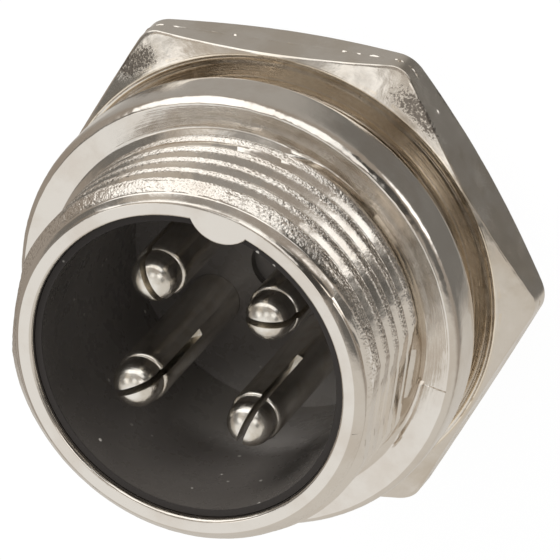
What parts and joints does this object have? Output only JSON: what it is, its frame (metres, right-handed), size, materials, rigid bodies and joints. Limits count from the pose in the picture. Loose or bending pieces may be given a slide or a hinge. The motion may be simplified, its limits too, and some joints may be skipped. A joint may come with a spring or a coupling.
{
  "type": "circular panel plug connector",
  "caption": "Round threaded male panel connector with a flanged metal shell, black cup insulator, split domed contact pins, key rib and a bevelled hex nut.",
  "frame": {"origin": "centre of the flange's back face, where the panel sits", "axes": "+Z along the axis to the mating end, +Y to the key rib"},
  "size_m": [0.0216, 0.0214, 0.0185],
  "materials": {
    "nickel_shell": "bright nickel plate on a zinc casting",
    "nickel_nut": "bright nickel plate on a cast nut",
    "nickel_contact": "polished nickel plate on brass",
    "spring_steel": "plain spring steel",
    "black_plastic": "glossy black moulding"
  },
  "bodies": {
    "connector": {"shell": "nickel_shell", "insulator": "black_plastic", "pin_1": "nickel_contact", "pin_2": "nickel_contact", "pin_3": "nickel_contact", "pin_4": "nickel_contact", "retaining_ring": "spring_steel"},
    "nut": {"hex_nut": "nickel_nut"}
  },
  "joints": [
    {"name": "nut_turn", "type": "hinge", "parent": "connector", "child": "nut", "pos_m": [0, 0, 0], "axis": [0, 0, 1], "range_deg": [-1829, 655]}
  ]
}
